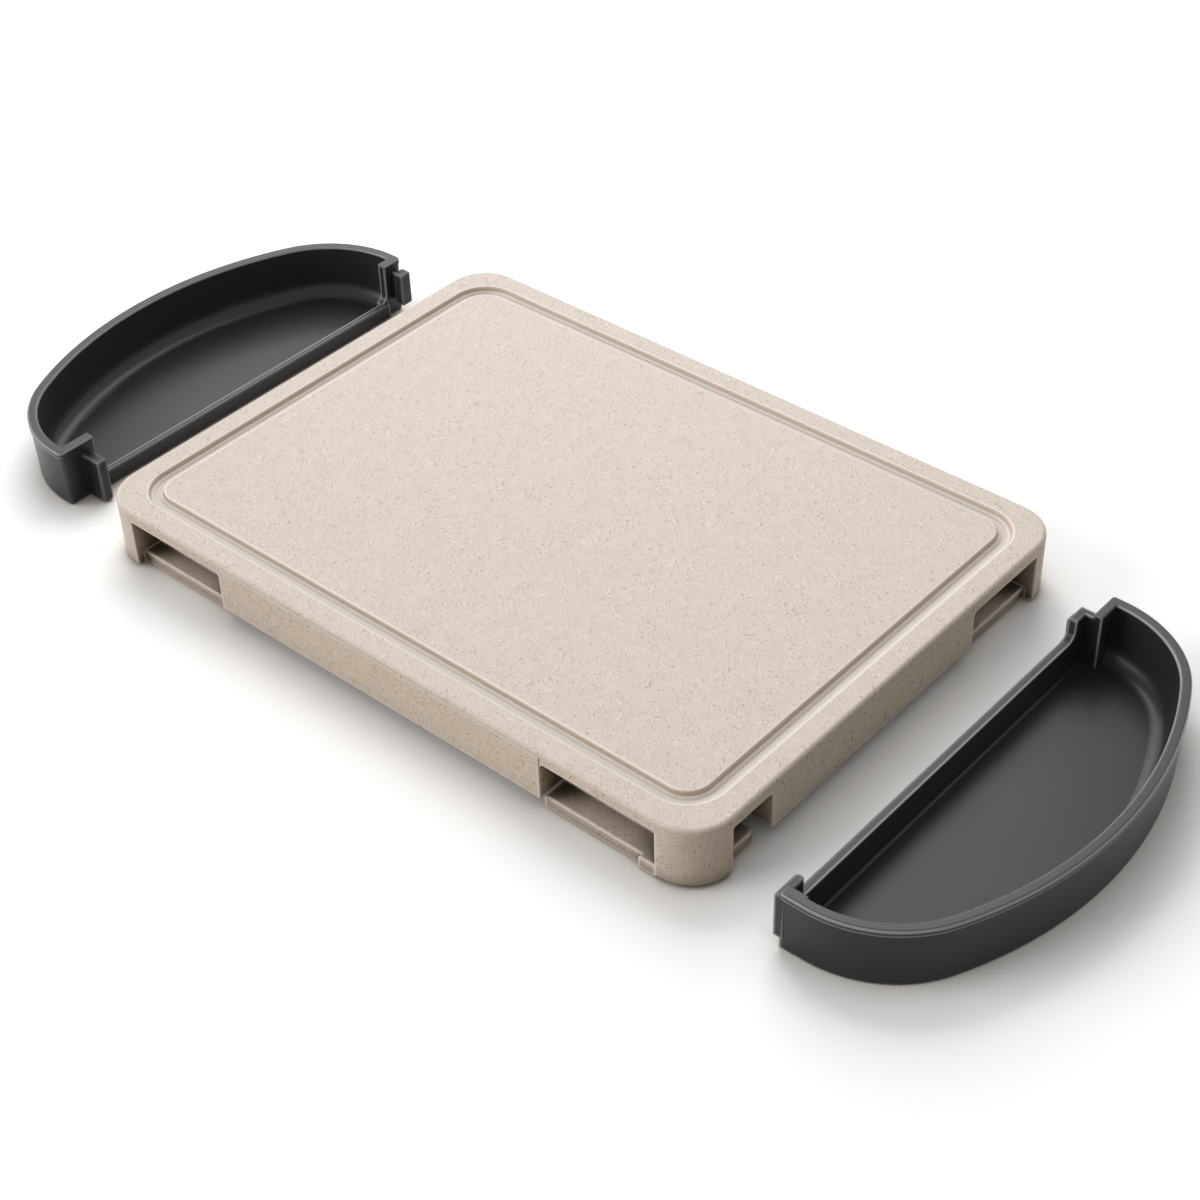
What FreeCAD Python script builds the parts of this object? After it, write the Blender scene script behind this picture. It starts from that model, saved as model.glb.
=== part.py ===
import FreeCAD
import Part
import math
import os
from FreeCAD import Vector

# Cutting board on four corner bases, with a D-shaped tray that docks at each short end.
#
# Frame, millimetres: +X runs along the board, +Y across it from front to back, +Z up. The worktop
# is Z = 0 and the origin is under the middle of the board. Both trays stand pulled clear of it.

# ---- Board: one moulding with a cutting plate, a skirt and four corner feet
BOARD_LENGTH = 380.0
BOARD_WIDTH = 276.0
BOARD_HEIGHT = 34.0          # foot underside to cutting face
PLATE = 6.5                  # cutting plate, which is also the roof of the pockets
SKIRT_WALL = 5.0
SKIRT_RAISE = 7.0            # the skirt between the feet stops this far above their undersides
CORNER_RADIUS = 22.0
TOP_ROUND = 2.0
FOOT_ROUND = 2.5
PANEL_PROUD = 0.35           # the long skirts stand proud by this much between the corner zones
PANEL_DROP = 3.0             # and the proud panel starts this far under the cutting face

# ---- Juice groove
GROOVE_INSET = 12.0
GROOVE_WIDTH = 7.8
GROOVE_DEPTH = 3.2
GROOVE_RADIUS = 20.0         # outer edge, in plan
GROOVE_STEP = 1.3            # width of the shallow step beside each side
GROOVE_STEP_DEPTH = 2.2
GROOVE_SIDE = 0.8            # run of each sloping side
GROOVE_BLEND = 0.3           # run of the small slope from each step to the floor
GROOVE_LIP = 0.5             # rounding where the groove meets the cutting face

# ---- Pockets: open to the outside at both sides of every corner
FOOT_LONG = 24.0             # foot length along the long side
FOOT_FRONT = 22.5            # foot length along the short side, front corners
FOOT_BACK = 23.0             # the same, back corners
POCKET_LONG = 64.0           # pocket length along the long side
POCKET_FRONT = 27.0          # pocket length along the short side, front corners
POCKET_BACK = 52.5           # the same, back corners
POCKET_DEPTH = 15.0
POCKET_WALL = 3.5            # walls that close a pocket's back and ends
POCKET_ROUND = 3.0           # upper corner of a pocket's mouth on the side away from the foot
POCKET_SHARP = 1.0           # upper corner beside the foot

# ---- Ribs under the plate
RIB = 2.4
RIB_HEIGHT = 10.0
RIBS_ALONG = 5               # ribs that run front to back
RIBS_ACROSS = 3              # ribs that run end to end

# ---- Corner bases: the pockets' floors, set into the feet from below
BASE_THICK = 6.5
BASE_PLATE = 28.0            # inboard reach of the plate under the foot, both ways
BASE_ROUND = 3.0             # its inner corner, in plan
TONGUE = 22.0                # the ledge of the front right short pocket ends after this much
TONGUE_ROUND = 4.0           # outer corner of that free end, in plan
DEEP_LEDGE = 2.6             # the front right long ledge comes forward by this much
STOP_BLOCK = 9.5             # block beside the foot at the end of that ledge
STOP_SETBACK = 0.6           # its face behind the skirt's outer face
LEDGE_ROUND = 1.0
PLATE_NOTCH = 10.2           # cut-out at the front left, where the left tray's plate comes down
SEAT = 0.3                   # clearance round a part that is set into another
PEG_RADIUS = 3.0
PEG_HEIGHT = 9.0
PEG_FIT = 0.15
PEG_TIP = 0.8
PEG_INSET = 14.0             # peg centre from the board's two sides
BOSS_WALL = 2.6

# ---- Foot pads
PAD_RADIUS = 7.5
PAD_PROUD = 0.8              # the pads hold the feet this far off the worktop
PAD_SINK = 1.8
PAD_INSET = 18.0             # pad centre from the board's two sides
PAD_ROUND = 0.5

# ---- Trays: u runs away from the board, from the outer face of the posts at u = 0
TRAY_LENGTH = 244.0
RIGHT_MIDDLE = -14.0         # Y of the middle of each tray
LEFT_MIDDLE = -6.0
TRAY_DEPTH = 80.5
TRAY_HEIGHT = 33.0
TRAY_WALL = 4.6
TRAY_FLOOR = 2.6
TRAY_END_RADIUS = 60.0
TRAY_END_STRAIGHT = 1.0      # straight stretch of each end before its arc, past the wall
TRAY_TAPER = 0.6             # how far the curved wall leans in towards its foot
TRAY_CORNER = 1.8            # upright outer corner at each end, in plan
TRAY_COVE = 9.0              # rounding between the floor and the curved wall
SILL_COVE = 1.5              # rounding between the floor and the sill
RIM_BAND = 0.6               # the rim stands out from the wall by this much
RIM_HEIGHT = 3.2
RIM_ROUND = 1.2
FOOT_EDGE = 1.4              # rounding of the tray's lower outer edge
SILL_SWEEP = 5.0             # rounding where the sill rises to a post or a tab
SILL_ROUND = 0.9             # rounding along the sill's upper edges
DOCK_GAP = 0.4               # sill to skirt when a tray is docked

# ---- Right tray: a high sill, no post in front, tabs that stand on the sill's line
RIGHT_TRAVEL = 35.8          # pull from docked to where the tray stands
RIGHT_SILL = 20.0
RIGHT_SILL_OUT = 8.5         # the sill stands this far towards the board from the posts
RIGHT_SILL_WALL = 4.6
RIGHT_TAB_TOP = 30.6
RIGHT_FRONT_TAB = 15.0       # lengths along the straight side
RIGHT_FRONT_LIFT = 6.5       # underside of the front tab above the worktop
RIGHT_BACK_TAB = 10.8
RIGHT_BACK_INSET = 13.5      # outer end of the back tab from the tray's back end
RIGHT_BACK_NECK = 3.6
TAB_NOSE = 2.2               # rounding of the front tab's free end, in plan
LUG_OUT = 3.0                # reach of the lugs beyond the sill, into the pockets
LUG_LIFT = 8.5               # undersides of the lugs above the worktop
FRONT_LUG = 15.0
FRONT_LUG_TOP = 15.0
BACK_LUG = 7.0
BACK_LUG_TOP = 26.0
LUG_BLUNT = 1.0              # chamfer of the lugs' leading edges

# ---- Left tray: a low sill between two posts, an upright plate in front, a headed block behind
LEFT_TRAVEL = 40.0
LEFT_SILL = 9.5
LEFT_SILL_OUT = 2.0
LEFT_SILL_WALL = 3.8
LEFT_FRONT_POST = 21.5       # full-height wall at each end of the straight side
LEFT_BACK_POST = 13.0
LEFT_FRONT_REACH = 12.1      # reach of the tabs from the posts
LEFT_BACK_REACH = 8.8
LEFT_FRONT_TAB = 6.0
LEFT_BACK_TAB = 7.2
LEFT_FRONT_TOP = 25.5
LEFT_TAB_LIFT = 0.8
LEFT_BACK_HEAD = 6.2         # reach of the head; the rest is its neck
LEFT_BACK_NECK = 4.0
TAB_TOP_GAP = 0.5            # tab under the pocket's roof
TAB_LEDGE_GAP = 0.8          # tab over the pocket's ledge
TAB_SIDE_GAP = 0.5           # lugs and tabs beside the foot
TAB_ROUND = 0.9

# ---- Heights and lines that several parts share
FOOT_Z = PAD_PROUD
TOP_Z = FOOT_Z + BOARD_HEIGHT
ROOF_Z = TOP_Z - PLATE
SKIRT_Z = FOOT_Z + SKIRT_RAISE
LEDGE_Z = FOOT_Z + BASE_THICK
HALF_L = BOARD_LENGTH / 2
HALF_W = BOARD_WIDTH / 2
FOOT_X = HALF_L - FOOT_LONG              # pocket edge beside the foot, long sides
MID_X = FOOT_X - POCKET_LONG             # pocket edge towards the middle, long sides
FRONT_FOOT_Y = HALF_W - FOOT_FRONT       # the same lines on the short sides, as distances
FRONT_MID_Y = FRONT_FOOT_Y - POCKET_FRONT
BACK_FOOT_Y = HALF_W - FOOT_BACK
BACK_MID_Y = BACK_FOOT_Y - POCKET_BACK
INNER_X = HALF_L - POCKET_DEPTH          # back faces of the pockets
INNER_Y = HALF_W - POCKET_DEPTH
BACK_X = INNER_X - POCKET_WALL           # and the hidden faces of their back walls
BACK_Y = INNER_Y - POCKET_WALL
RIGHT_POST_X = HALF_L + DOCK_GAP + RIGHT_SILL_OUT + RIGHT_TRAVEL
LEFT_POST_X = HALF_L + DOCK_GAP + LEFT_SILL_OUT + LEFT_TRAVEL
TRAY_HALF = TRAY_LENGTH / 2
FRONT_LIMIT = TAB_SIDE_GAP - FRONT_FOOT_Y    # what enters a pocket lies between these two Y
BACK_LIMIT = BACK_FOOT_Y - TAB_SIDE_GAP
FAR = 20.0                               # overshoot of cutting tools
LAP = 1.0                                # overlap of solids that are fused
NEAR = 0.01                              # tolerance when picking edges


def box(x0, x1, y0, y1, z0, z1):
    """Axis-aligned block between two corners, given in any order."""
    low = Vector(min(x0, x1), min(y0, y1), min(z0, z1))
    return Part.makeBox(abs(x1 - x0), abs(y1 - y0), abs(z1 - z0), low)


def rounded_rectangle(length, width, radius, z):
    """Closed wire of four lines and four tangent arcs, centred on the Z axis."""
    x = length / 2
    y = width / 2
    edges = []
    for sx, sy in ((1, 1), (-1, 1), (-1, -1), (1, -1)):
        cx = sx * (x - radius)
        cy = sy * (y - radius)
        along_x = Vector(cx, sy * y, z)
        along_y = Vector(sx * x, cy, z)
        middle = Vector(cx + sx * radius * math.sqrt(0.5), cy + sy * radius * math.sqrt(0.5), z)
        first, last = (along_y, along_x) if sx * sy > 0 else (along_x, along_y)
        if edges:
            edges.append(Part.LineSegment(edges[-1].lastVertex().Point, first).toShape())
        edges.append(Part.Arc(first, middle, last).toShape())
    edges.append(Part.LineSegment(edges[-1].lastVertex().Point, edges[0].firstVertex().Point).toShape())
    return Part.Wire(edges)


def rounded_block(inset, z0, z1):
    """Block with the board's plan, set in from its outer face by a distance."""
    wire = rounded_rectangle(BOARD_LENGTH - 2 * inset, BOARD_WIDTH - 2 * inset, CORNER_RADIUS - inset, z0)
    return Part.Face(wire).extrude(Vector(0, 0, z1 - z0))


def fillet(shape, radius, wanted):
    """Round every edge that the test picks."""
    edges = [edge for edge in shape.Edges if wanted(edge)]
    return shape.makeFillet(radius, edges)


def flat_at(edge, z):
    """True for an edge that lies at one height."""
    bounds = edge.BoundBox
    return abs(bounds.ZMin - z) < NEAR and abs(bounds.ZMax - z) < NEAR


def upright_at(edge, x, y):
    """True for a straight vertical edge that stands at one place in plan."""
    bounds = edge.BoundBox
    straight = bounds.XLength < NEAR and bounds.YLength < NEAR
    return straight and abs(bounds.XMin - x) < NEAR * 2 and abs(bounds.YMin - y) < NEAR * 2


def mirrored(shape, sign):
    """Copy of a shape drawn in the +X +Y corner, moved to another corner by mirroring."""
    copy = shape.copy()
    if sign[0] < 0:
        copy = copy.mirror(Vector(0, 0, 0), Vector(1, 0, 0))
    if sign[1] < 0:
        copy = copy.mirror(Vector(0, 0, 0), Vector(0, 1, 0))
    return copy


def corners():
    """Name, signs, foot line and pocket length on the short side, for each corner."""
    for end, sx in (("left", -1), ("right", 1)):
        yield "front_" + end, (sx, -1), FRONT_FOOT_Y, POCKET_FRONT
        yield "back_" + end, (sx, 1), BACK_FOOT_Y, POCKET_BACK


def pocket_tool(foot, length, point, inwards):
    """Pocket of one corner: its mouth run inwards to the back wall.

    The mouth lies between the foot and the middle of that side. Its upper corner beside the foot is
    nearly sharp and the other one is rounded. point(a, z) puts the mouth in space outside the board.
    """
    low = FOOT_Z - FAR
    middle = foot - length
    cut = 1 - math.sqrt(0.5)
    near = (foot, foot - cut * POCKET_SHARP, foot - POCKET_SHARP, POCKET_SHARP)
    far = (middle, middle + cut * POCKET_ROUND, middle + POCKET_ROUND, POCKET_ROUND)
    edges = []
    for side, between, along, radius in (near, far):
        on_side = point(side, ROOF_Z - radius)
        on_arc = point(between, ROOF_Z - cut * radius)
        edges.append(Part.LineSegment(point(side, low), on_side).toShape())
        edges.append(Part.Arc(on_side, on_arc, point(along, ROOF_Z)).toShape())
    edges.append(Part.LineSegment(point(near[2], ROOF_Z), point(far[2], ROOF_Z)).toShape())
    edges.append(Part.LineSegment(point(near[0], low), point(far[0], low)).toShape())
    profile = Part.Wire(Part.__sortEdges__(edges))
    return Part.Face(profile).extrude(inwards * (FAR + POCKET_DEPTH))


def pocket_tools(foot_y, length):
    """The two pockets of the corner in +X +Y."""
    def on_long_side(a, z):
        return Vector(a, HALF_W + FAR, z)

    def on_short_side(a, z):
        return Vector(HALF_L + FAR, a, z)

    return [
        pocket_tool(FOOT_X, POCKET_LONG, on_long_side, Vector(0, -1, 0)),
        pocket_tool(foot_y, length, on_short_side, Vector(-1, 0, 0)),
    ]


def pocket_walls(foot_y, length, closed):
    """Walls that hang from the plate round the two pockets of the corner in +X +Y.

    closed is the length of the short side's back wall, from the foot. Walls over the corner base
    stop on it; the others reach down as far as the skirt.
    """
    skin_x = HALF_L - SKIRT_WALL / 2
    skin_y = HALF_W - SKIRT_WALL / 2
    middle_y = foot_y - length
    return [
        box(MID_X - POCKET_WALL, FOOT_X + POCKET_WALL, BACK_Y, INNER_Y, LEDGE_Z, ROOF_Z + LAP),
        box(MID_X - POCKET_WALL, MID_X, BACK_Y, skin_y, SKIRT_Z, ROOF_Z + LAP),
        box(FOOT_X, FOOT_X + POCKET_WALL, BACK_Y, skin_y, LEDGE_Z, ROOF_Z + LAP),
        box(BACK_X, INNER_X, foot_y - closed, foot_y + POCKET_WALL, LEDGE_Z, ROOF_Z + LAP),
        box(BACK_X, skin_x, middle_y - POCKET_WALL, middle_y, SKIRT_Z, ROOF_Z + LAP),
        box(BACK_X, skin_x, foot_y, foot_y + POCKET_WALL, LEDGE_Z, ROOF_Z + LAP),
    ]


def ribs():
    """Lattice under the plate, with a frame in line with the pockets' back walls."""
    low = ROOF_Z - RIB_HEIGHT
    high = ROOF_Z + LAP
    pieces = []
    for index in range(RIBS_ALONG):
        x = BACK_X * (2 * (index + 1) / (RIBS_ALONG + 1) - 1)
        pieces.append(box(x - RIB / 2, x + RIB / 2, -BACK_Y, BACK_Y, low, high))
    for index in range(RIBS_ACROSS):
        y = BACK_Y * (2 * (index + 1) / (RIBS_ACROSS + 1) - 1)
        pieces.append(box(-BACK_X, BACK_X, y - RIB / 2, y + RIB / 2, low, high))
    for side in (-1, 1):
        pieces.append(box(-INNER_X, INNER_X, side * BACK_Y, side * (BACK_Y + RIB), low, high))
        pieces.append(box(side * BACK_X, side * (BACK_X + RIB), -INNER_Y, INNER_Y, low, high))
    return pieces


def groove_tool():
    """Channel with a shallow step along each side, swept round the board inside its edge."""
    half = GROOVE_WIDTH / 2
    middle = GROOVE_INSET + half
    length = BOARD_LENGTH - 2 * middle
    path = rounded_rectangle(length, BOARD_WIDTH - 2 * middle, GROOVE_RADIUS - half, TOP_Z)
    start = path.Edges[0].firstVertex().Point
    step = half - GROOVE_SIDE
    outline = [
        (half, LAP),
        (half, 0),
        (step, -GROOVE_STEP_DEPTH),
        (step - GROOVE_STEP, -GROOVE_STEP_DEPTH),
        (step - GROOVE_STEP - GROOVE_BLEND, -GROOVE_DEPTH),
    ]
    points = [start + Vector(a, 0, b) for a, b in outline]
    points += [start + Vector(-a, 0, b) for a, b in reversed(outline)]
    profile = Part.makePolygon(points + points[:1])
    return path.makePipeShell([profile], True, True)


def proud_panels():
    """Skins that thicken the long skirts between the corner zones, with a sloping upper edge."""
    panels = []
    for side in (-1, 1):
        outer = side * (HALF_W + PANEL_PROUD)
        inner = side * (HALF_W - SKIRT_WALL / 2)
        panel = box(-MID_X, MID_X, inner, outer, SKIRT_Z, TOP_Z - PANEL_DROP)
        upper = [edge for edge in panel.Edges if flat_at(edge, TOP_Z - PANEL_DROP)]
        rim = [edge for edge in upper if abs(edge.CenterOfMass.y - outer) < NEAR]
        panels.append(panel.makeChamfer(PANEL_PROUD - NEAR, rim))
    return panels


def board_shell():
    """Plate, skirt, feet, pockets, ribs and juice groove as one moulding."""
    shell = rounded_block(0, FOOT_Z, TOP_Z)
    shell = fillet(shell, TOP_ROUND, lambda edge: flat_at(edge, TOP_Z))
    shell = fillet(shell, FOOT_ROUND, lambda edge: flat_at(edge, FOOT_Z))
    under_long = box(-MID_X, MID_X, -HALF_W - FAR, HALF_W + FAR, FOOT_Z - FAR, SKIRT_Z)
    under_short = box(-HALF_L - FAR, HALF_L + FAR, -FRONT_MID_Y, BACK_MID_Y, FOOT_Z - FAR, SKIRT_Z)
    shell = shell.cut([rounded_block(SKIRT_WALL, FOOT_Z - FAR, ROOF_Z), under_long, under_short])
    added = proud_panels() + ribs()
    tools = []
    for name, sign, foot_y, length in corners():
        closed = TONGUE if name.startswith("front") else length
        peg = Vector(HALF_L - PEG_INSET, HALF_W - PEG_INSET, LEDGE_Z)
        bore = PEG_RADIUS + PEG_FIT
        local = pocket_walls(foot_y, length, closed)
        local.append(Part.makeCylinder(bore + BOSS_WALL, ROOF_Z + LAP - LEDGE_Z, peg))
        added += [mirrored(shape, sign) for shape in local]
        local = pocket_tools(foot_y, length)
        local.append(Part.makeCylinder(bore, PEG_HEIGHT + LAP, peg))
        tools += [mirrored(shape, sign) for shape in local]
    shell = shell.fuse(added).cut(tools).removeSplitter()
    shell = shell.cut(groove_tool())
    reach = HALF_L - GROOVE_INSET + NEAR
    upper = [edge for edge in shell.Edges if flat_at(edge, TOP_Z)]
    lips = [edge for edge in upper if max(edge.BoundBox.XMax, -edge.BoundBox.XMin) < reach]
    return shell.makeFillet(GROOVE_LIP, lips).Solids[0]


def corner_base(foot_y, ledge, sign, near_corner):
    """Moulding that is set into a foot from below; its two arms are the floors of the pockets.

    ledge is the reach of the short side's arm from the foot. It is nothing at the front left, where
    the left tray's plate comes down to the worktop, and has a free end at the front right.
    """
    inner_x = HALF_L - BASE_PLATE
    inner_y = HALF_W - BASE_PLATE
    seated = SKIRT_WALL + SEAT
    plate = box(inner_x, HALF_L, inner_y, HALF_W, FOOT_Z, LEDGE_Z)
    plate = fillet(plate, BASE_ROUND, lambda edge: upright_at(edge, inner_x, inner_y))
    long_arm = box(MID_X, HALF_L, BACK_Y, HALF_W, FOOT_Z, LEDGE_Z)
    end_y = foot_y - ledge
    short_arm = box(BACK_X, HALF_L - seated, end_y, HALF_W, FOOT_Z, LEDGE_Z)
    if near_corner:
        tip = (HALF_L - seated, end_y)
        short_arm = fillet(short_arm, TONGUE_ROUND, lambda edge: upright_at(edge, *tip))
    seat = rounded_block(seated, FOOT_Z - LAP, LEDGE_Z + LAP)
    base = plate.fuse([long_arm, short_arm])
    if not ledge:
        notch = box(HALF_L - PLATE_NOTCH, HALF_L, inner_y - LAP, foot_y, FOOT_Z - LAP, LEDGE_Z + LAP)
        base = base.cut(notch)
    base = base.common(seat).removeSplitter()
    if near_corner:
        front = HALF_W - seated
        flush = HALF_W - STOP_SETBACK
        deeper = box(MID_X, FOOT_X - SEAT, front - LAP, front + DEEP_LEDGE, FOOT_Z, LEDGE_Z)
        stop = box(FOOT_X - STOP_BLOCK, FOOT_X - SEAT, front - LAP, flush, FOOT_Z, LEDGE_Z)
        base = base.fuse([deeper, stop]).removeSplitter()
    rims = [e for e in base.Edges if flat_at(e, LEDGE_Z) and ledge_rim(e)]
    base = base.makeFillet(LEDGE_ROUND, rims)
    peg_foot = Vector(HALF_L - PEG_INSET, HALF_W - PEG_INSET, LEDGE_Z - LAP)
    peg = Part.makeCylinder(PEG_RADIUS, PEG_HEIGHT + LAP, peg_foot)
    peg = peg.makeChamfer(PEG_TIP, [edge for edge in peg.Edges if flat_at(edge, LEDGE_Z + PEG_HEIGHT)])
    pad_seat = Vector(HALF_L - PAD_INSET, HALF_W - PAD_INSET, FOOT_Z - LAP)
    recess = Part.makeCylinder(PAD_RADIUS + SEAT, PAD_SINK + LAP, pad_seat)
    base = base.fuse(peg).cut(recess).removeSplitter()
    return mirrored(base, sign).Solids[0]


def ledge_rim(edge):
    """True for the upper front edge of a pocket's ledge, which shows in the mouth."""
    middle = edge.CenterOfMass
    along_x = middle.y > INNER_Y + LAP and middle.x < FOOT_X
    along_y = middle.x > INNER_X + LAP and middle.y < HALF_W - BASE_PLATE
    return along_x or along_y


def foot_pad(sign):
    """Soft disc in the recess under a corner base."""
    centre = Vector(HALF_L - PAD_INSET, HALF_W - PAD_INSET, 0)
    pad = Part.makeCylinder(PAD_RADIUS, PAD_PROUD + PAD_SINK, centre)
    pad = fillet(pad, PAD_ROUND, lambda edge: flat_at(edge, 0))
    return mirrored(pad, sign).Solids[0]


def tray_outline(middle, inset, front_u, back_u, z, corner):
    """Plan of a tray: a stepped straight side, two square ends, end arcs and a nose arc.

    The straight side lies at front_u over the front half and at back_u over the back half. The ends
    and arcs are set in by a distance. The nose arc is tangent to the end arcs, which sets its radius.
    A corner radius rounds the two ends of the straight side; with none they are sharp.
    """
    end_u = TRAY_WALL + TRAY_END_STRAIGHT
    end_v = TRAY_HALF - TRAY_END_RADIUS
    spare = TRAY_DEPTH - end_u
    nose = (spare ** 2 + end_v ** 2 - TRAY_END_RADIUS ** 2) / (2 * (spare - TRAY_END_RADIUS))
    nose_u = TRAY_DEPTH - nose
    angle = math.atan2(end_v, end_u - nose_u)
    turn = (math.pi / 2 + angle) / 2
    half = TRAY_HALF - inset
    end_r = TRAY_END_RADIUS - inset
    nose_r = nose - inset
    cut = corner * (1 - math.sqrt(0.5))

    def at(u, v):
        return Vector(u, middle + v, z)

    edges = [Part.LineSegment(at(front_u, 0), at(back_u, 0)).toShape()] if front_u != back_u else []
    touches = []
    for side, straight in ((-1, front_u), (1, back_u)):
        corner_from = at(straight, side * (half - corner))
        corner_to = at(straight + corner, side * half)
        if corner:
            corner_over = at(straight + cut, side * (half - cut))
            edges.append(Part.Arc(corner_from, corner_over, corner_to).toShape())
        start = at(end_u, side * half)
        halfway = at(end_u + end_r * math.cos(turn), side * (end_v + end_r * math.sin(turn)))
        touch = at(nose_u + nose_r * math.cos(angle), side * nose_r * math.sin(angle))
        edges.append(Part.LineSegment(at(straight, 0), corner_from).toShape())
        edges.append(Part.LineSegment(corner_to, start).toShape())
        edges.append(Part.Arc(start, halfway, touch).toShape())
        touches.append(touch)
    edges.append(Part.Arc(touches[0], at(TRAY_DEPTH - inset, 0), touches[1]).toShape())
    return Part.Wire(Part.__sortEdges__(edges))


def inner_rim(edge, middle):
    """True for the inner edge of the rim round the ends and the nose, but not along the posts."""
    bounds = edge.BoundBox
    high_u = TRAY_DEPTH - TRAY_WALL
    reach_y = TRAY_HALF - TRAY_WALL
    inside_u = bounds.XMin > TRAY_WALL - NEAR and bounds.XMax < high_u
    inside_y = bounds.YMin > middle - reach_y and bounds.YMax < middle + reach_y
    return flat_at(edge, TRAY_HEIGHT) and bounds.XLength > NEAR and inside_u and inside_y


def floor_edge(edge):
    """True for an edge on the top of a tray's floor."""
    return flat_at(edge, TRAY_FLOOR)


def tray_body(middle, sill, out, sill_wall, front_u, gate, well, slab):
    """D-shaped dish: tapered wall, rim band, coved floor, and a low sill along the straight side.

    gate, well and slab are ranges of Y: the opening over the sill between the posts, the floor
    recess behind the sill, and the sill's own block.
    """
    band_z = TRAY_HEIGHT - RIM_HEIGHT
    open_z = TRAY_HEIGHT + LAP
    inner_u = sill_wall - out
    foot = tray_outline(middle, RIM_BAND + TRAY_TAPER, front_u, 0, 0, TRAY_CORNER)
    neck = tray_outline(middle, RIM_BAND, front_u, 0, band_z, TRAY_CORNER)
    wall = Part.makeLoft([foot, neck], True, True)
    wall = fillet(wall, FOOT_EDGE, lambda edge: flat_at(edge, 0) and edge.BoundBox.XMax > TRAY_WALL)
    block = box(-out, LAP, slab[0], slab[1], 0, sill)
    block = fillet(block, FOOT_EDGE, lambda edge: flat_at(edge, 0) and edge.BoundBox.XMax < 0)
    block = fillet(block, SILL_ROUND, lambda edge: flat_at(edge, sill) and edge.BoundBox.XMax < 0)
    rim = tray_outline(middle, 0, front_u, 0, band_z, TRAY_CORNER)
    band = Part.Face(rim).extrude(Vector(0, 0, RIM_HEIGHT))
    band = fillet(band, RIM_ROUND, lambda edge: flat_at(edge, TRAY_HEIGHT))
    body = wall.fuse([band, block]).removeSplitter()

    low = tray_outline(middle, RIM_BAND + TRAY_TAPER + TRAY_WALL, TRAY_WALL, TRAY_WALL, TRAY_FLOOR, 0)
    high = tray_outline(middle, RIM_BAND + TRAY_WALL, TRAY_WALL, TRAY_WALL, open_z, 0)
    cavity = Part.makeLoft([low, high], True, True)
    cavity = fillet(cavity, TRAY_COVE, lambda edge: floor_edge(edge) and edge.BoundBox.XMax > TRAY_WALL + NEAR)
    recess = box(inner_u, TRAY_WALL + LAP, well[0], well[1], TRAY_FLOOR, open_z)
    recess = fillet(recess, SILL_COVE, lambda edge: floor_edge(edge) and edge.BoundBox.XMax < inner_u + NEAR)
    opening = box(-out - FAR, TRAY_WALL + LAP, gate[0], gate[1], sill, open_z)
    opening = fillet(opening, SILL_SWEEP, lambda edge: flat_at(edge, sill) and edge.BoundBox.YLength < NEAR)
    body = body.cut([cavity, recess, opening])
    return fillet(body, RIM_ROUND, lambda edge: inner_rim(edge, middle))


def lug(y0, y1, top):
    """Low block on the right sill's outer face with a chamfered leading edge."""
    lead_u = -RIGHT_SILL_OUT - LUG_OUT
    block = box(lead_u, LAP - RIGHT_SILL_OUT, y0, y1, LUG_LIFT, top)
    lead = [edge for edge in block.Edges if edge.BoundBox.XMax < lead_u + NEAR]
    return block.makeChamfer(LUG_BLUNT, lead)


def right_tray():
    """High sill that runs on into both tabs; the back tab is joined to its post by a neck."""
    front_y = RIGHT_MIDDLE - TRAY_HALF + RIM_BAND
    back_y = RIGHT_MIDDLE + TRAY_HALF - RIGHT_BACK_INSET
    post_y = back_y - RIGHT_BACK_NECK
    end_y = front_y + TRAY_TAPER + TRAY_WALL
    inner_u = RIGHT_SILL_WALL - RIGHT_SILL_OUT
    body = tray_body(
        RIGHT_MIDDLE, RIGHT_SILL, RIGHT_SILL_OUT, RIGHT_SILL_WALL, inner_u - TRAY_CORNER,
        gate=(end_y, post_y), well=(end_y, post_y), slab=(end_y - TRAY_WALL, back_y),
    )
    free_y = front_y + RIGHT_FRONT_TAB
    under = box(-RIGHT_SILL_OUT - LAP, inner_u - TRAY_CORNER, front_y - LAP, free_y, -LAP, RIGHT_FRONT_LIFT)
    body = body.cut(under)
    front = box(-RIGHT_SILL_OUT, inner_u, front_y, free_y, RIGHT_FRONT_LIFT, RIGHT_TAB_TOP)
    for u in (-RIGHT_SILL_OUT, inner_u):
        front = fillet(front, TAB_NOSE, lambda edge: upright_at(edge, u, free_y))
    front = fillet(front, TAB_ROUND, lambda edge: flat_at(edge, RIGHT_TAB_TOP))
    head_y = back_y - RIGHT_BACK_TAB
    head = box(-RIGHT_SILL_OUT, inner_u, head_y, back_y, FOOT_EDGE, RIGHT_TAB_TOP)
    neck = box(-RIGHT_SILL_OUT, LAP, post_y, back_y, FOOT_EDGE, RIGHT_TAB_TOP)
    head = head.fuse(neck).removeSplitter()
    head = fillet(head, TAB_ROUND, lambda edge: flat_at(edge, RIGHT_TAB_TOP) and edge.BoundBox.XMax < LAP)
    sweep_y = head_y - SILL_SWEEP
    sweep_z = RIGHT_SILL + SILL_SWEEP
    sweep = box(-RIGHT_SILL_OUT, inner_u, sweep_y, head_y + LAP, RIGHT_SILL - LAP, sweep_z)
    axis_start = Vector(-RIGHT_SILL_OUT, sweep_y, sweep_z)
    hollow = Part.makeCylinder(SILL_SWEEP, RIGHT_SILL_WALL, axis_start, Vector(1, 0, 0))
    front_lug = lug(FRONT_LIMIT, FRONT_LIMIT + FRONT_LUG, FRONT_LUG_TOP)
    back_lug = lug(back_y - BACK_LUG, back_y, BACK_LUG_TOP)
    return body.fuse([front, head, sweep.cut(hollow), front_lug, back_lug])


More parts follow.
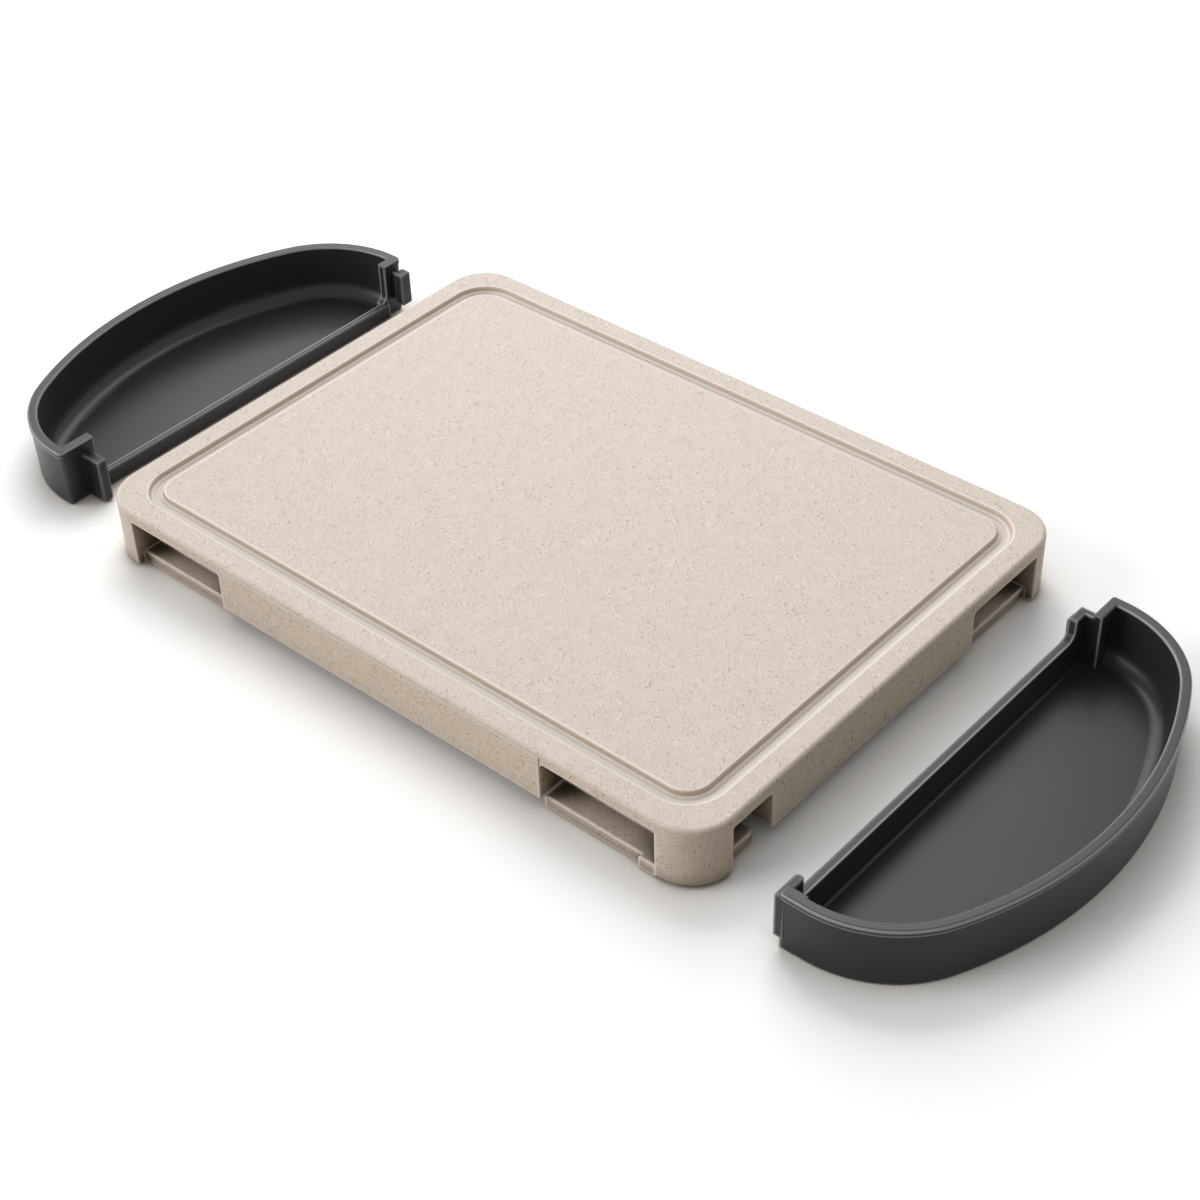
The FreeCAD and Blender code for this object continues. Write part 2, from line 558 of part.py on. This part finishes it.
def left_tray():
    """Low sill between two posts; a long upright plate in front and a headed block behind."""
    gate = (LEFT_MIDDLE - TRAY_HALF + LEFT_FRONT_POST, LEFT_MIDDLE + TRAY_HALF - LEFT_BACK_POST)
    well = (gate[0] + LEFT_SILL_WALL, gate[1] - LEFT_SILL_WALL)
    body = tray_body(
        LEFT_MIDDLE, LEFT_SILL, LEFT_SILL_OUT, LEFT_SILL_WALL, 0,
        gate=gate, well=well, slab=gate,
    )
    plate_y = FRONT_LIMIT + LEFT_FRONT_TAB
    front = box(-LEFT_FRONT_REACH, LAP, FRONT_LIMIT, plate_y, LEFT_TAB_LIFT, LEFT_FRONT_TOP)
    front = fillet(front, TAB_ROUND, lambda edge: edge.BoundBox.XMin < 0)
    top = ROOF_Z - TAB_TOP_GAP
    head_u = LEFT_BACK_HEAD - LEFT_BACK_REACH
    low = LEDGE_Z + TAB_LEDGE_GAP
    head = box(-LEFT_BACK_REACH, head_u, BACK_LIMIT - LEFT_BACK_TAB, BACK_LIMIT, low, top)
    head = fillet(head, TAB_ROUND, lambda edge: True)
    neck_y = BACK_LIMIT - LEFT_BACK_TAB / 2
    half = LEFT_BACK_NECK / 2
    neck = box(head_u - LAP, LAP, neck_y - half, neck_y + half, low + LAP, top - LAP)
    return body.fuse([front, head, neck])


def docked_out(tray, post_x, sign):
    """One tray moved from its own frame to where it stands beside the board."""
    tray.translate(Vector(post_x, 0, 0))
    return mirrored(tray, sign).Solids[0]


def main():
    os.makedirs("parts", exist_ok=True)
    parts = {"board_shell": board_shell()}
    for name, sign, foot_y, length in corners():
        ledge = {"front_left": 0, "front_right": TONGUE}.get(name, length)
        parts["corner_base_" + name] = corner_base(foot_y, ledge, sign, name == "front_right")
        parts["foot_pad_" + name] = foot_pad(sign)
    parts["tray_left"] = docked_out(left_tray(), LEFT_POST_X, (-1, 1))
    parts["tray_right"] = docked_out(right_tray(), RIGHT_POST_X, (1, 1))
    for name, shape in parts.items():
        print(name, shape.ShapeType, len(shape.Solids), shape.isValid(), round(shape.Volume))
        shape.exportStep("parts/" + name + ".step")


main()
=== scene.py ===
import math

import bpy
from mathutils import Matrix, Vector

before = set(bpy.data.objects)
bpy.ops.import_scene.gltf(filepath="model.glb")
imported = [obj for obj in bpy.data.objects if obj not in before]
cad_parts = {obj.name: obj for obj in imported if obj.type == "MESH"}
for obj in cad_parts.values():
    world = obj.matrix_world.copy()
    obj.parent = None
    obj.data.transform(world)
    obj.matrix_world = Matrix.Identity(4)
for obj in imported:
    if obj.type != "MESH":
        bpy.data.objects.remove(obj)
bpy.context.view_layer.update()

# ---- Board shell
# One thick-walled moulding in a plant-fibre composite: cutting plate, skirts, four hollow feet and a
# juice groove. Pale greige with curly fibres and brown husk specks, matt all over, with a painted
# highlight along its edges and painted brown shade deep in its pockets and on its sides.

MM = 0.001

BOARD_PALE = (0.700, 0.612, 0.530)
BOARD_DEEP = (0.652, 0.565, 0.483)
# Painted shade: the darker line beside each pale curl.
FIBRE_SHADE = (0.430, 0.330, 0.245)
FIBRE_PALE = (0.900, 0.850, 0.790)
HUSK_BROWN = (0.260, 0.170, 0.105)
# Painted highlight: pale lines on the outer edges and the groove's lips.
EDGE_HIGHLIGHT = (0.920, 0.870, 0.800)
# Painted shade: warm brown darkening in pockets and corners.
RECESS_SHADE = (0.048, 0.028, 0.013)
# Painted shade on the groove's walls and painted light on its step lines.
GROOVE_WALL_SHADE = (0.430, 0.310, 0.200)
GROOVE_FLOOR = (0.740, 0.680, 0.610)
GROOVE_STEP_LIGHT = (0.900, 0.850, 0.780)
# Painted shade: the sides are darkened and warmed against the top.
SIDE_SHADE = (1.000, 0.975, 0.930)

FIBRES_PER_METRE = 260.0
FIBRE_LAYERS = (0.0, 0.37)          # two layers of curls, each read at its own shift of the place
FIBRE_SHADOW = 0.22 * MM            # the shaded side lies this far beside the pale line
FIBRE_SWIRL = 300.0                 # scale of the noise that bends the curls
FIBRE_BEND = 6.0 * MM               # how far it bends them
FIBRE_LINE = (0.075, 0.03)          # distance from a cell's wall: clear of the line, on the line
FIBRE_CUTTER = 0.95                 # scale of the cutting noise, as a share of the fibres'
FIBRE_KEPT = (0.475, 0.53)          # value of the cutting noise: cut away, kept
SPECKS_PER_METRE = 330.0
SPECK_WOBBLE = 900.0                # scale of the noise that makes the specks uneven
SPECK_BEND = 1.2 * MM
SPECK_SPREAD = 0.19                 # largest radius over the smallest, as a share of a cell
SPECK_LEAST = 0.02
SPECK_RIM = (-0.03, 0.04)
MOTTLE_SCALE = 160.0
MOTTLE_FADE = (0.3, 0.7)

GROOVE_CORNER = (158.0 * MM, 106.2 * MM)
GROOVE_CORNER_RADIUS = 20.0 * MM
GROOVE_HALF = 3.9 * MM
GROOVE_LEVEL = (30.0 * MM, 30.5 * MM)
GROOVE_BANDS = (                    # each band's distance from the groove's middle and half width, mm
    ("Lip", 4.25, 0.15),
    ("Wall", 3.50, 0.40),
    ("Step", 1.65, 0.20),
    ("Floor", 0.0, 3.0),
    ("Bed", 0.0, 4.2),
)
GROOVE_BAND_SOFT = 0.3              # mm over which a band fades out
# Groove paints: the floor paler and greyer, the step lines paler still as painted light over their
# shading, the walls brown as painted shade and the lips a painted highlight.
GROOVE_PAINTS = (
    ("Floor", 0.75, GROOVE_FLOOR),
    ("Step", 0.90, GROOVE_STEP_LIGHT),
    ("Wall", 0.60, GROOVE_WALL_SHADE),
    ("Lip", 0.85, EDGE_HIGHLIGHT),
)

BOARD_ROUGHNESS = 0.50
BOARD_SPECULAR = 0.4
BOARD_ROUNDING = 0.9 * MM
BED_ROUNDING = 1.3 * MM             # added to it in the groove
FIBRE_SHADE_SHARE = 0.66
PALE_FIBRE_SHARE = 0.38
SPECK_ON_TOP = 0.45
SPECK_ON_SIDES = 0.80
UPWARD_FADE = (0.5, 0.9)            # upward part of the normal: a side, the top
RECESS_REACH = 20.0 * MM
RECESS_FADE = (0.18, 0.54)
RECESS_SHARE = 0.95
BOARD_HIGHLIGHT_REACH = 1.6 * MM
BOARD_HIGHLIGHT_FADE = (0.10, 0.40)
BOARD_HIGHLIGHT_SHARE = 0.8
BOARD_RELIEF = {"Strength": 0.18, "Distance": 0.05 * MM}


def add_node(tree, kind, inputs=None, **settings):
    """A new shader node: plain settings by name, inputs by name or number, each a value or a socket."""
    node = tree.nodes.new("ShaderNode" + kind)
    for name, value in settings.items():
        setattr(node, name, value)
    for name, value in (inputs or {}).items():
        if isinstance(value, bpy.types.NodeSocket):
            tree.links.new(value, node.inputs[name])
        else:
            node.inputs[name].default_value = value
    return node


def calculate(tree, operation, first, second=0.0, third=0.0):
    """The value of one Math node."""
    values = {0: first, 1: second, 2: third}
    return add_node(tree, "Math", values, operation=operation).outputs[0]


def move(tree, operation, *vectors):
    """The vector of one Vector Math node."""
    return add_node(tree, "VectorMath", dict(enumerate(vectors)), operation=operation).outputs[0]


def noise(tree, place, scale, detail=0.0, roughness=0.5):
    """The outputs of one noise texture read at a place."""
    inputs = {"Vector": place, "Scale": scale, "Detail": detail, "Roughness": roughness}
    return add_node(tree, "TexNoise", inputs).outputs


def object_place(tree):
    """A point's place in the object's own coordinates."""
    return add_node(tree, "TexCoord").outputs["Object"]


def upward_part(tree, vector):
    """The third coordinate of a place or a normal."""
    return add_node(tree, "SeparateXYZ", {0: vector}).outputs[2]


def fade(tree, value, start, end):
    """A smooth ramp: 0 where the value is at start, 1 where it is at end."""
    ends = {"Value": value, "From Min": start, "From Max": end}
    return add_node(tree, "MapRange", ends, interpolation_type="SMOOTHSTEP").outputs["Result"]


def blend_colours(tree, share, under, over, blend="MIX"):
    """The colour under, turned into the colour over, or multiplied by it, by a share from 0 to 1."""
    mix = add_node(tree, "Mix", {0: share, 6: under, 7: over}, data_type="RGBA", blend_type=blend)
    return mix.outputs[2]


def opaque(colour):
    """Red, green and blue with an alpha of 1."""
    return (*colour, 1.0)


def start_group(name, inputs, outputs):
    """An empty shader group with float inputs and outputs, and its two end nodes."""
    group = bpy.data.node_groups.new(name, "ShaderNodeTree")
    for title, value in inputs:
        socket = group.interface.new_socket(title, in_out="INPUT", socket_type="NodeSocketFloat")
        socket.default_value = value
    for title in outputs:
        group.interface.new_socket(title, in_out="OUTPUT", socket_type="NodeSocketFloat")
    return group, group.nodes.new("NodeGroupInput"), group.nodes.new("NodeGroupOutput")


def make_fibre_group():
    """Curly fibres, husk specks and a faint mottle through the thickness of the composite.

    A fibre runs along the wall between two cells of a bent Voronoi pattern, so it is equally wide
    all along. A noise cuts the walls into short curls. Its shaded side is painted shade: the same
    line moved by part of a millimetre and painted darker. A speck is the middle of a cell, of a size
    taken from the cell's colour.
    """
    group, given, result = start_group(
        "composite_fibres",
        [("Fibres per metre", FIBRES_PER_METRE), ("Specks per metre", SPECKS_PER_METRE)],
        ("Fibre shade", "Pale fibre", "Speck", "Mottle"),
    )
    place = object_place(group)
    fibres = given.outputs["Fibres per metre"]
    sides = {"Fibre shade": [], "Pale fibre": []}
    for shift in FIBRE_LAYERS:
        for title, aside in (("Fibre shade", FIBRE_SHADOW), ("Pale fibre", 0.0)):
            moved = move(group, "ADD", place, (shift - aside, shift - aside, shift + aside))
            swirl = noise(group, moved, FIBRE_SWIRL)["Color"]
            bent = move(group, "MULTIPLY_ADD", swirl, (FIBRE_BEND,) * 3, moved)
            walls = add_node(
                group, "TexVoronoi", {"Vector": bent, "Scale": fibres}, feature="DISTANCE_TO_EDGE"
            )
            line = fade(group, walls.outputs["Distance"], *FIBRE_LINE)
            cutter = noise(group, moved, calculate(group, "MULTIPLY", fibres, FIBRE_CUTTER))["Fac"]
            kept = fade(group, cutter, *FIBRE_KEPT)
            sides[title].append(calculate(group, "MULTIPLY", line, kept))
    for title, lines in sides.items():
        group.links.new(calculate(group, "MAXIMUM", *lines), result.inputs[title])
    wobble = noise(group, place, SPECK_WOBBLE)["Color"]
    bent = move(group, "MULTIPLY_ADD", wobble, (SPECK_BEND,) * 3, place)
    cell = add_node(group, "TexVoronoi", {"Vector": bent, "Scale": given.outputs["Specks per metre"]})
    lot = add_node(group, "SeparateColor", {0: cell.outputs["Color"]}).outputs[0]
    radius = calculate(group, "MULTIPLY_ADD", lot, SPECK_SPREAD, SPECK_LEAST)
    inside = calculate(group, "SUBTRACT", radius, cell.outputs["Distance"])
    group.links.new(fade(group, inside, *SPECK_RIM), result.inputs["Speck"])
    cloud = noise(group, place, MOTTLE_SCALE, 5.0, 0.65)["Fac"]
    group.links.new(fade(group, cloud, *MOTTLE_FADE), result.inputs["Mottle"])
    return group


def make_groove_group():
    """Bands round the juice groove, by the distance inward from its outer edge.

    That edge is a rectangle with rounded corners. A point's distance outward from it is the length
    of what it lies beyond the corner centres, plus the larger of its two offsets where both are
    negative, less the corner radius. A band is centred at its distance from the groove's middle.
    """
    group, _, result = start_group("groove_bands", [], [title for title, _, _ in GROOVE_BANDS])
    place = object_place(group)
    beyond = move(group, "SUBTRACT", move(group, "ABSOLUTE", place), (*GROOVE_CORNER, 0.0))
    beyond = move(group, "MULTIPLY", beyond, (1.0, 1.0, 0.0))
    outside = move(group, "MAXIMUM", beyond, (0.0, 0.0, 0.0))
    reach = add_node(group, "VectorMath", {0: outside}, operation="LENGTH").outputs["Value"]
    parts = add_node(group, "SeparateXYZ", {0: beyond}).outputs
    within = calculate(group, "MINIMUM", calculate(group, "MAXIMUM", parts[0], parts[1]), 0.0)
    outward = calculate(group, "ADD", reach, within)
    inward = calculate(group, "SUBTRACT", GROOVE_CORNER_RADIUS, outward)
    on_top = fade(group, upward_part(group, place), *GROOVE_LEVEL)
    off_middle = calculate(group, "ABSOLUTE", calculate(group, "SUBTRACT", inward, GROOVE_HALF))
    for title, middle, half in GROOVE_BANDS:
        off_band = calculate(group, "ABSOLUTE", calculate(group, "SUBTRACT", off_middle, middle * MM))
        band = fade(group, off_band, (half + GROOVE_BAND_SOFT) * MM, half * MM)
        group.links.new(calculate(group, "MULTIPLY", band, on_top), result.inputs[title])
    return group


FIBRE_GROUP = make_fibre_group()
GROOVE_GROUP = make_groove_group()


def start_material(name, roughness, specular=0.5):
    """A material with a Principled shader and its constant sockets set."""
    material = bpy.data.materials.new(name)
    material.use_nodes = True
    shader = material.node_tree.nodes["Principled BSDF"]
    shader.inputs["Roughness"].default_value = roughness
    shader.inputs["Specular IOR Level"].default_value = specular
    return material, material.node_tree, shader


def place_group(tree, group):
    """The outputs of a shader group placed in a material."""
    node = tree.nodes.new("ShaderNodeGroup")
    node.node_tree = group
    return node.outputs


def rounded_edges(tree, radius):
    """A normal that rounds crisp edges by a radius."""
    return add_node(tree, "Bevel", {"Radius": radius}, samples=6).outputs["Normal"]


def near_share(tree, distance, inside):
    """How closely other surface surrounds a point: 0 on open faces, more in corners.

    Looking inside the solid it finds outer edges instead.
    """
    settings = {"inside": inside, "only_local": inside, "samples": 4}
    looks = add_node(tree, "AmbientOcclusion", {"Distance": distance}, **settings)
    return calculate(tree, "SUBTRACT", 1.0, looks.outputs["AO"])


def give_relief(tree, shader, relief, height, **normal):
    """Links a bump to the shader: its strength and distance, the height and the normal under it."""
    bump = add_node(tree, "Bump", {**relief, "Height": height, **normal})
    tree.links.new(bump.outputs["Normal"], shader.inputs["Normal"])


def make_composite(name, pale, deep):
    """Fibre composite: mottled base, curls and specks, with painted edge highlights and painted shade.
    """
    material, tree, shader = start_material(name, BOARD_ROUGHNESS, BOARD_SPECULAR)
    fibres = place_group(tree, FIBRE_GROUP)
    groove = place_group(tree, GROOVE_GROUP)
    bed = groove["Bed"]
    radius = calculate(tree, "MULTIPLY_ADD", bed, BED_ROUNDING, BOARD_ROUNDING)
    rounded = rounded_edges(tree, radius)
    colour = blend_colours(tree, fibres["Mottle"], opaque(deep), opaque(pale))
    # Painted shade: a darker line beside each pale curl, as if the curl were embossed and lit from one
    # side.
    fibre_shade_share = calculate(tree, "MULTIPLY", fibres["Fibre shade"], FIBRE_SHADE_SHARE)
    colour = blend_colours(tree, fibre_shade_share, colour, opaque(FIBRE_SHADE))
    pale_share = calculate(tree, "MULTIPLY", fibres["Pale fibre"], PALE_FIBRE_SHARE)
    colour = blend_colours(tree, pale_share, colour, opaque(FIBRE_PALE))
    own_normal = add_node(tree, "NewGeometry").outputs["Normal"]
    flat = fade(tree, upward_part(tree, own_normal), *UPWARD_FADE)
    speck_share = calculate(tree, "MULTIPLY_ADD", flat, SPECK_ON_TOP - SPECK_ON_SIDES, SPECK_ON_SIDES)
    speck_share = calculate(tree, "MULTIPLY", fibres["Speck"], speck_share)
    colour = blend_colours(tree, speck_share, colour, opaque(HUSK_BROWN))
    # Painted shade: sides darker and warmer than the top.
    side_shaded = blend_colours(tree, 1.0, colour, opaque(SIDE_SHADE), "MULTIPLY")
    colour = blend_colours(tree, flat, side_shaded, colour)
    # Groove paints, with painted shade on the walls, painted light on the steps and painted highlight
    # on the lips.
    for title, share, paint in GROOVE_PAINTS:
        share = calculate(tree, "MULTIPLY", groove[title], share)
        colour = blend_colours(tree, share, colour, opaque(paint))
    # Painted shade: warm brown darkening where other surface closes round, in pockets and corners, less
    # in the groove.
    recess = fade(tree, near_share(tree, RECESS_REACH, False), *RECESS_FADE)
    off_bed = calculate(tree, "MULTIPLY_ADD", bed, -RECESS_SHARE, RECESS_SHARE)
    recess = calculate(tree, "MULTIPLY", recess, off_bed)
    colour = blend_colours(tree, recess, colour, opaque(RECESS_SHADE))
    # Painted highlight: a pale line along the outer edges, found by looking inside the solid.
    outer = fade(tree, near_share(tree, BOARD_HIGHLIGHT_REACH, True), *BOARD_HIGHLIGHT_FADE)
    outer = calculate(tree, "MULTIPLY", outer, BOARD_HIGHLIGHT_SHARE)
    colour = blend_colours(tree, outer, colour, opaque(EDGE_HIGHLIGHT))
    tree.links.new(colour, shader.inputs["Base Color"])
    height = calculate(tree, "SUBTRACT", fibres["Pale fibre"], fibres["Speck"])
    give_relief(tree, shader, BOARD_RELIEF, height, Normal=rounded)
    return material


def dress(start, material):
    """Gives a material to every slot of the CAD nodes whose names start in one way."""
    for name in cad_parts:
        if name.startswith(start):
            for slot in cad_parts[name].material_slots:
                slot.material = material


COMPOSITE = make_composite("fibre_composite", BOARD_PALE, BOARD_DEEP)
dress("board_shell", COMPOSITE)

# ---- Corner bases
# Four mouldings in the same composite, pressed up into the feet on one peg each. Their arms are the
# floors of the pockets and show in the mouths as ledges.

dress("corner_base", COMPOSITE)

# ---- Foot pads
# Four discs of soft dark rubber stuck in the recesses under the corner bases.

PAD_GREY = (0.045, 0.045, 0.047)
PAD_DUST = (0.10, 0.10, 0.10)
DUST_FADE = (0.45, 0.8)
PAD_RELIEF = {"Strength": 0.4, "Distance": 0.08 * MM}


def make_rubber():
    """Matt rubber with a dusty, slightly uneven skin."""
    material, tree, shader = start_material("pad_rubber", 0.85)
    dust = noise(tree, object_place(tree), 700.0, 3.0)["Fac"]
    colour = blend_colours(tree, fade(tree, dust, *DUST_FADE), opaque(PAD_GREY), opaque(PAD_DUST))
    tree.links.new(colour, shader.inputs["Base Color"])
    give_relief(tree, shader, PAD_RELIEF, dust)
    return material


dress("foot_pad", make_rubber())

# ---- Trays
# Two injection-moulded dishes in charcoal polypropylene with a satin spark-eroded grain and a cloudy
# gloss. Their rim tops carry a painted sheen, and painted highlight lines run along their edges.

TRAY_CHARCOAL = (0.024, 0.024, 0.025)
# Painted highlight: pale lines along the trays' edges.
TRAY_EDGE_HIGHLIGHT = (0.330, 0.332, 0.336)
RIM_SHEEN = (0.062, 0.062, 0.064)
RIM_HIGHLIGHT_GREY = (0.300, 0.302, 0.306)
RIM_TOP = 33.0 * MM
RIM_HIGHLIGHT_LEVEL = (RIM_TOP - 1.4 * MM, RIM_TOP - 1.1 * MM)       # height of the painted highlight line round the rim
RIM_FLAT = (RIM_TOP - 0.25 * MM, RIM_TOP - 0.1 * MM)      # height of the rim's flat, painted paler as a sheen
RIM_CLEAR = (RIM_TOP - 1.2 * MM, RIM_TOP - 1.8 * MM)      # the other painted edge highlights fade in below it
TRAY_SPECULAR = 0.30
TRAY_ROUNDING = 0.6 * MM
TRAY_EDGE_REACH = 1.3 * MM
TRAY_EDGE_FADE = (0.10, 0.24)
TRAY_EDGE_SHARE = 0.8
TRAY_LEAST_ROUGHNESS = 0.30
TRAY_CLOUDING = 0.06
TRAY_RELIEF = {"Strength": 0.45, "Distance": 0.05 * MM}


def make_tray_plastic():
    """Satin charcoal plastic: fine grain in the relief, cloudy gloss, painted edge highlights and rim
    sheen.
    """
    material, tree, shader = start_material(
        "charcoal_polypropylene", TRAY_LEAST_ROUGHNESS, TRAY_SPECULAR
    )
    rounded = rounded_edges(tree, TRAY_ROUNDING)
    place = object_place(tree)
    level = upward_part(tree, place)
    # Painted highlight: pale lines along the outer edges, kept off the rim.
    edge = fade(tree, near_share(tree, TRAY_EDGE_REACH, True), *TRAY_EDGE_FADE)
    edge = calculate(tree, "MULTIPLY", edge, fade(tree, level, *RIM_CLEAR))
    edge = calculate(tree, "MULTIPLY", edge, TRAY_EDGE_SHARE)
    colour = blend_colours(tree, edge, opaque(TRAY_CHARCOAL), opaque(TRAY_EDGE_HIGHLIGHT))
    # Painted highlight: a pale line round the rim's rounded edge.
    colour = blend_colours(tree, fade(tree, level, *RIM_HIGHLIGHT_LEVEL), colour, opaque(RIM_HIGHLIGHT_GREY))
    # Painted sheen: the rim's flat top a little paler.
    colour = blend_colours(tree, fade(tree, level, *RIM_FLAT), colour, opaque(RIM_SHEEN))
    tree.links.new(colour, shader.inputs["Base Color"])
    cloud = noise(tree, place, 25.0, 4.0)["Fac"]
    rough = calculate(tree, "MULTIPLY_ADD", cloud, TRAY_CLOUDING, TRAY_LEAST_ROUGHNESS)
    tree.links.new(rough, shader.inputs["Roughness"])
    grain = noise(tree, place, 1500.0, 2.0)["Fac"]
    give_relief(tree, shader, TRAY_RELIEF, grain, Normal=rounded)
    return material


dress("tray_", make_tray_plastic())

# ---- Studio floor
# A plain white sheet that the board and both trays stand on. It keeps their soft contact shadows,
# which are stage and no part of the object, adds a painted shadow close round them, and it throws a
# duller grey back at them.

FLOOR_REACH = 12.0
FLOOR_WHITE = (1.230, 1.225, 1.215)
FLOOR_FAR = (1.660, 1.655, 1.650)
FLOOR_FADE = (0.35, 2.0)            # metres from the middle: near white, far white
# Painted shadow on the floor close round the objects.
FLOOR_PAINTED_SHADOW = (0.600, 0.545, 0.480)
CONTACT_REACH = 26.0 * MM
CONTACT_FADE = (0.05, 0.8)
FLOOR_BOUNCE = (0.405, 0.350, 0.295)


def seen_share(tree):
    """1 for what the camera sees, straight or in gloss or glass, and 0 for light on its way."""
    path = add_node(tree, "LightPath").outputs
    seen = calculate(tree, "MAXIMUM", path["Is Camera Ray"], path["Is Glossy Ray"])
    return calculate(tree, "MAXIMUM", seen, path["Is Transmission Ray"])


def make_floor():
    """One square face under the object, white to the eye with a painted shadow close round the object,
    and a duller grey as a bounce.
    """
    corners = [(x * FLOOR_REACH, y * FLOOR_REACH, 0.0) for x, y in ((-1, -1), (1, -1), (1, 1), (-1, 1))]
    mesh = bpy.data.meshes.new("studio_floor")
    mesh.from_pydata(corners, [], [(0, 1, 2, 3)])
    floor = bpy.data.objects.new("studio_floor", mesh)
    bpy.context.scene.collection.objects.link(floor)
    material = bpy.data.materials.new("studio_floor")
    material.use_nodes = True
    tree = material.node_tree
    tree.nodes.clear()
    away = add_node(tree, "VectorMath", {0: object_place(tree)}, operation="LENGTH").outputs["Value"]
    away = fade(tree, away, *FLOOR_FADE)
    colour = blend_colours(tree, away, opaque(FLOOR_WHITE), opaque(FLOOR_FAR))
    # Painted shadow: the floor darkened and warmed close round the objects.
    contact = fade(tree, near_share(tree, CONTACT_REACH, False), *CONTACT_FADE)
    colour = blend_colours(tree, contact, colour, opaque(FLOOR_PAINTED_SHADOW))
    white = add_node(tree, "BsdfDiffuse", {"Color": colour}).outputs[0]
    dull = add_node(tree, "BsdfDiffuse", {"Color": opaque(FLOOR_BOUNCE)}).outputs[0]
    mix = add_node(tree, "MixShader", {0: seen_share(tree), 1: dull, 2: white}).outputs[0]
    end = tree.nodes.new("ShaderNodeOutputMaterial")
    tree.links.new(mix, end.inputs["Surface"])
    mesh.materials.append(material)
    return floor


make_floor()

# ---- Studio light
# A pale room, a broad softbox over the back left, a far softbox low at the front left and a weak
# strip lamp. Together they light a level white sheet to white. A glint lamp adds gloss alone.

ROOM_LIGHT = 0.44
SOFTBOX_PLACE = Vector((-0.62, 0.72, 1.05))
SOFTBOX_SIZE = 1.0
SOFTBOX_SHARE = 0.37
LAMPS = (                           # where each shines from, its spread in degrees, its share
    ("front_left_softbox", (-0.64, -0.70, 0.32), 40, 0.155),
    ("strip_light", (-0.55, 0.30, 0.78), 12, 0.04),
)
GLINT_LAMP = ("glint_strip", (-0.874, 0.214, 0.436), 12, 0.09)


def light_room():
    """Even world light, pure white where the camera looks past the floor."""
    world = bpy.data.worlds.new("pale_room")
    bpy.context.scene.world = world
    world.use_nodes = True
    tree = world.node_tree
    background = tree.nodes["Background"]
    background.inputs["Color"].default_value = (1.0, 1.0, 1.0, 1.0)
    strength = calculate(tree, "MULTIPLY_ADD", seen_share(tree), 1.0 - ROOM_LIGHT, ROOM_LIGHT)
    tree.links.new(strength, background.inputs["Strength"])


def hang(name, lamp, towards):
    """A lamp object that shines from a direction, before it gets its place."""
    holder = bpy.data.objects.new(name, lamp)
    holder.rotation_mode = "QUATERNION"
    holder.rotation_quaternion = towards.to_track_quat("Z", "Y")
    bpy.context.scene.collection.objects.link(holder)
    return holder


def hang_far_lamp(name, towards, spread, share):
    """A far lamp, by its share of the light on a level white sheet.

    Its energy is pi times that share, over the upward part of the direction that it shines from.
    """
    towards = Vector(towards).normalized()
    lamp = bpy.data.lights.new(name, "SUN")
    lamp.angle = math.radians(spread)
    lamp.energy = share * math.pi / towards.z
    return hang(name, lamp, towards)


def hang_softbox():
    """A square box over the back left, close enough that its light falls off to the front right.

    Its share of a level white sheet is its power times the cosine of its angle from straight above,
    over the square of pi times its distance. The power follows from that share.
    """
    lamp = bpy.data.lights.new("overhead_softbox", "AREA")
    lamp.shape = "SQUARE"
    lamp.size = SOFTBOX_SIZE
    distance = SOFTBOX_PLACE.length
    lamp.energy = SOFTBOX_SHARE * (math.pi * distance) ** 2 * distance / SOFTBOX_PLACE.z
    hang("overhead_softbox", lamp, SOFTBOX_PLACE).location = SOFTBOX_PLACE


light_room()
hang_softbox()
for lamp in LAMPS:
    hang_far_lamp(*lamp)
hang_far_lamp(*GLINT_LAMP).visible_diffuse = False

# ---- Camera
# A short telephoto over the front right corner, looking down at about forty degrees.

CAMERA_AZIMUTH = math.radians(42.05)
CAMERA_ELEVATION = math.radians(39.58)
CAMERA_ROLL = math.radians(-1.91)
CAMERA_PLACE = Vector((0.591788, -0.638483, 0.696143))
CAMERA_LENS = 67.83
CAMERA_SENSOR = 36.0


def place_camera():
    """Camera axes from azimuth, elevation and roll."""
    sin_a, cos_a = math.sin(CAMERA_AZIMUTH), math.cos(CAMERA_AZIMUTH)
    sin_e, cos_e = math.sin(CAMERA_ELEVATION), math.cos(CAMERA_ELEVATION)
    back = Vector((sin_a * cos_e, -cos_a * cos_e, sin_e))
    level = Vector((cos_a, sin_a, 0.0))
    upward = back.cross(level)
    right = level * math.cos(CAMERA_ROLL) + upward * math.sin(CAMERA_ROLL)
    up = upward * math.cos(CAMERA_ROLL) - level * math.sin(CAMERA_ROLL)
    turn = Matrix((right, up, back)).transposed().to_4x4()
    data = bpy.data.cameras.new("camera")
    data.lens = CAMERA_LENS
    data.sensor_width = CAMERA_SENSOR
    camera = bpy.data.objects.new("camera", data)
    camera.matrix_world = Matrix.Translation(CAMERA_PLACE) @ turn
    bpy.context.scene.collection.objects.link(camera)
    bpy.context.scene.camera = camera


place_camera()
bpy.context.scene.view_settings.view_transform = "Standard"
